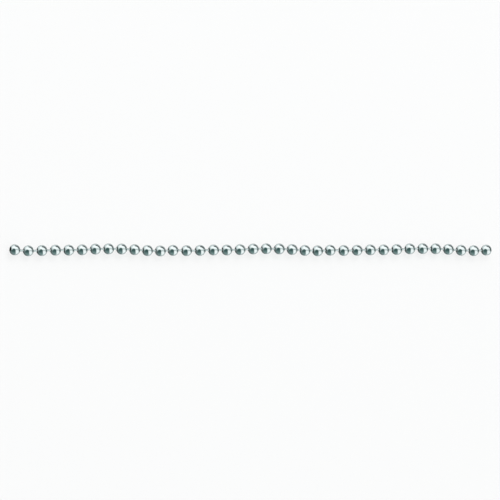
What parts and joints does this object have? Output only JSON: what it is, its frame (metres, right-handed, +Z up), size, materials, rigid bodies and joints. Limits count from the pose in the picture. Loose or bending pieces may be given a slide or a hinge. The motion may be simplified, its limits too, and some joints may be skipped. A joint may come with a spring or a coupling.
{
  "type": "roller blind chain",
  "caption": "Length of metal ball chain that works a roller blind: hollow steel balls joined by dumbbell links whose heads are captive in the balls, so each can tilt.",
  "frame": {"origin": "under the middle of the chain's bounding box, on the surface that it lies on", "axes": "+X along the chain, from the open left end bead to the right end bead, +Y sideways, +Z up"},
  "size_m": [0.211, 0.0054, 0.0045],
  "materials": {
    "nickel_plate": "bright nickel plate over steel, cool grey"
  },
  "bodies": {
    "bead_01": {"bead_01": "nickel_plate"},
    "bead_02": {"bead_02": "nickel_plate"},
    "bead_03": {"bead_03": "nickel_plate"},
    "bead_04": {"bead_04": "nickel_plate"},
    "bead_05": {"bead_05": "nickel_plate"},
    "bead_06": {"bead_06": "nickel_plate"},
    "bead_07": {"bead_07": "nickel_plate"},
    "bead_08": {"bead_08": "nickel_plate"},
    "bead_09": {"bead_09": "nickel_plate"},
    "bead_10": {"bead_10": "nickel_plate"},
    "bead_11": {"bead_11": "nickel_plate"},
    "bead_12": {"bead_12": "nickel_plate"},
    "bead_13": {"bead_13": "nickel_plate"},
    "bead_14": {"bead_14": "nickel_plate"},
    "bead_15": {"bead_15": "nickel_plate"},
    "bead_16": {"bead_16": "nickel_plate"},
    "bead_17": {"bead_17": "nickel_plate"},
    "bead_18": {"bead_18": "nickel_plate"},
    "bead_19": {"bead_19": "nickel_plate"},
    "bead_20": {"bead_20": "nickel_plate"},
    "bead_21": {"bead_21": "nickel_plate"},
    "bead_22": {"bead_22": "nickel_plate"},
    "bead_23": {"bead_23": "nickel_plate"},
    "bead_24": {"bead_24": "nickel_plate"},
    "bead_25": {"bead_25": "nickel_plate"},
    "bead_26": {"bead_26": "nickel_plate"},
    "bead_27": {"bead_27": "nickel_plate"},
    "bead_28": {"bead_28": "nickel_plate"},
    "bead_29": {"bead_29": "nickel_plate"},
    "bead_30": {"bead_30": "nickel_plate"},
    "bead_31": {"bead_31": "nickel_plate"},
    "bead_32": {"bead_32": "nickel_plate"},
    "bead_33": {"bead_33": "nickel_plate"},
    "bead_34": {"bead_34": "nickel_plate"},
    "bead_35": {"bead_35": "nickel_plate"},
    "bead_36": {"bead_36": "nickel_plate"},
    "bead_37": {"bead_37": "nickel_plate"}
  },
  "joints": [
    {"name": "link_02_tilt", "type": "hinge", "parent": "bead_01", "child": "bead_02", "pos_m": [-0.10212, -0.00022, 0.00225], "axis": [0, 0, 1], "range_deg": [-27.4, 12.4]},
    {"name": "link_03_tilt", "type": "hinge", "parent": "bead_02", "child": "bead_03", "pos_m": [-0.09618, -0.00048, 0.00225], "axis": [0.0349, -0.9994, 0], "range_deg": [-19.9, 19.9]},
    {"name": "link_04_tilt", "type": "hinge", "parent": "bead_03", "child": "bead_04", "pos_m": [-0.09028, -0.00027, 0.00225], "axis": [0, 0, -1], "range_deg": [-20.4, 19.4]},
    {"name": "link_05_tilt", "type": "hinge", "parent": "bead_04", "child": "bead_05", "pos_m": [-0.08441, -0.00012, 0.00225], "axis": [0.0087, 1, 0], "range_deg": [-19.9, 19.9]},
    {"name": "link_06_tilt", "type": "hinge", "parent": "bead_05", "child": "bead_06", "pos_m": [-0.07858, -0.00017, 0.00225], "axis": [0, 0, -1], "range_deg": [-17.4, 22.4]},
    {"name": "link_07_tilt", "type": "hinge", "parent": "bead_06", "child": "bead_07", "pos_m": [-0.07278, 0.00003, 0.00225], "axis": [-0.0523, 0.9986, 0], "range_deg": [-19.9, 19.9]},
    {"name": "link_08_tilt", "type": "hinge", "parent": "bead_07", "child": "bead_08", "pos_m": [-0.06702, 0.00033, 0.00225], "axis": [0, 0, 1], "range_deg": [-17.4, 22.4]},
    {"name": "link_09_tilt", "type": "hinge", "parent": "bead_08", "child": "bead_09", "pos_m": [-0.06129, 0.00038, 0.00225], "axis": [-0.0175, -0.9998, 0], "range_deg": [-19.9, 19.9]},
    {"name": "link_10_tilt", "type": "hinge", "parent": "bead_09", "child": "bead_10", "pos_m": [-0.0556, 0.00028, 0.00225], "axis": [0, 0, 1], "range_deg": [-17.9, 21.9]},
    {"name": "link_11_tilt", "type": "hinge", "parent": "bead_10", "child": "bead_11", "pos_m": [-0.04995, -0.00001, 0.00225], "axis": [-0.0698, -0.9976, 0], "range_deg": [-19.9, 19.9]},
    {"name": "link_12_tilt", "type": "hinge", "parent": "bead_11", "child": "bead_12", "pos_m": [-0.04434, -0.00041, 0.00225], "axis": [0, 0, -1], "range_deg": [-16.9, 22.9]},
    {"name": "link_13_tilt", "type": "hinge", "parent": "bead_12", "child": "bead_13", "pos_m": [-0.03875, -0.0005, 0.00225], "axis": [-0.061, 0.9981, 0], "range_deg": [-19.9, 19.9]},
    {"name": "link_14_tilt", "type": "hinge", "parent": "bead_13", "child": "bead_14", "pos_m": [-0.0332, -0.00016, 0.00225], "axis": [0, 0, -1], "range_deg": [-25.9, 13.9]},
    {"name": "link_15_tilt", "type": "hinge", "parent": "bead_14", "child": "bead_15", "pos_m": [-0.02727, -0.00042, 0.00225], "axis": [-0.0349, 0.9994, 0], "range_deg": [-19.9, 19.9]},
    {"name": "link_16_tilt", "type": "hinge", "parent": "bead_15", "child": "bead_16", "pos_m": [-0.02137, -0.00022, 0.00225], "axis": [0, 0, 1], "range_deg": [-19.4, 20.4]},
    {"name": "link_17_tilt", "type": "hinge", "parent": "bead_16", "child": "bead_17", "pos_m": [-0.0155, -0.00006, 0.00225], "axis": [-0.0087, -1, 0], "range_deg": [-19.9, 19.9]},
    {"name": "link_18_tilt", "type": "hinge", "parent": "bead_17", "child": "bead_18", "pos_m": [-0.00966, -0.00011, 0.00225], "axis": [0, 0, 1], "range_deg": [-22.4, 17.4]},
    {"name": "link_19_tilt", "type": "hinge", "parent": "bead_18", "child": "bead_19", "pos_m": [-0.00387, 0.00009, 0.00225], "axis": [0.0523, -0.9986, 0], "range_deg": [-19.9, 19.9]},
    {"name": "link_20_tilt", "type": "hinge", "parent": "bead_19", "child": "bead_20", "pos_m": [0.00189, 0.00039, 0.00225], "axis": [0, 0, -1], "range_deg": [-22.4, 17.4]},
    {"name": "link_21_tilt", "type": "hinge", "parent": "bead_20", "child": "bead_21", "pos_m": [0.00762, 0.00044, 0.00225], "axis": [0.0175, 0.9998, 0], "range_deg": [-19.9, 19.9]},
    {"name": "link_22_tilt", "type": "hinge", "parent": "bead_21", "child": "bead_22", "pos_m": [0.01331, 0.00034, 0.00225], "axis": [0, 0, -1], "range_deg": [-21.9, 17.9]},
    {"name": "link_23_tilt", "type": "hinge", "parent": "bead_22", "child": "bead_23", "pos_m": [0.01897, 0.00004, 0.00225], "axis": [0.0698, 0.9976, 0], "range_deg": [-19.9, 19.9]},
    {"name": "link_24_tilt", "type": "hinge", "parent": "bead_23", "child": "bead_24", "pos_m": [0.02458, -0.00035, 0.00225], "axis": [0, 0, 1], "range_deg": [-22.9, 16.9]},
    {"name": "link_25_tilt", "type": "hinge", "parent": "bead_24", "child": "bead_25", "pos_m": [0.03017, -0.00045, 0.00225], "axis": [0.061, -0.9981, 0], "range_deg": [-19.9, 19.9]},
    {"name": "link_26_tilt", "type": "hinge", "parent": "bead_25", "child": "bead_26", "pos_m": [0.03571, -0.00011, 0.00225], "axis": [0, 0, 1], "range_deg": [-13.9, 25.9]},
    {"name": "link_27_tilt", "type": "hinge", "parent": "bead_26", "child": "bead_27", "pos_m": [0.04165, -0.00037, 0.00225], "axis": [0.0349, -0.9994, 0], "range_deg": [-19.9, 19.9]},
    {"name": "link_28_tilt", "type": "hinge", "parent": "bead_27", "child": "bead_28", "pos_m": [0.04755, -0.00016, 0.00225], "axis": [0, 0, -1], "range_deg": [-20.4, 19.4]},
    {"name": "link_29_tilt", "type": "hinge", "parent": "bead_28", "child": "bead_29", "pos_m": [0.05341, -0.00001, 0.00225], "axis": [0.0087, 1, 0], "range_deg": [-19.9, 19.9]},
    {"name": "link_30_tilt", "type": "hinge", "parent": "bead_29", "child": "bead_30", "pos_m": [0.05925, -0.00006, 0.00225], "axis": [0, 0, -1], "range_deg": [-17.4, 22.4]},
    {"name": "link_31_tilt", "type": "hinge", "parent": "bead_30", "child": "bead_31", "pos_m": [0.06505, 0.00015, 0.00225], "axis": [-0.0523, 0.9986, 0], "range_deg": [-19.9, 19.9]},
    {"name": "link_32_tilt", "type": "hinge", "parent": "bead_31", "child": "bead_32", "pos_m": [0.0708, 0.00045, 0.00225], "axis": [0, 0, 1], "range_deg": [-17.4, 22.4]},
    {"name": "link_33_tilt", "type": "hinge", "parent": "bead_32", "child": "bead_33", "pos_m": [0.07653, 0.0005, 0.00225], "axis": [-0.0175, -0.9998, 0], "range_deg": [-19.9, 19.9]},
    {"name": "link_34_tilt", "type": "hinge", "parent": "bead_33", "child": "bead_34", "pos_m": [0.08223, 0.0004, 0.00225], "axis": [0, 0, 1], "range_deg": [-17.9, 21.9]},
    {"name": "link_35_tilt", "type": "hinge", "parent": "bead_34", "child": "bead_35", "pos_m": [0.08788, 0.0001, 0.00225], "axis": [-0.0698, -0.9976, 0], "range_deg": [-19.9, 19.9]},
    {"name": "link_36_tilt", "type": "hinge", "parent": "bead_35", "child": "bead_36", "pos_m": [0.09349, -0.00029, 0.00225], "axis": [0, 0, -1], "range_deg": [-16.9, 22.9]},
    {"name": "link_37_tilt", "type": "hinge", "parent": "bead_36", "child": "bead_37", "pos_m": [0.09908, -0.00039, 0.00225], "axis": [-0.061, 0.9981, 0], "range_deg": [-19.9, 19.9]}
  ]
}
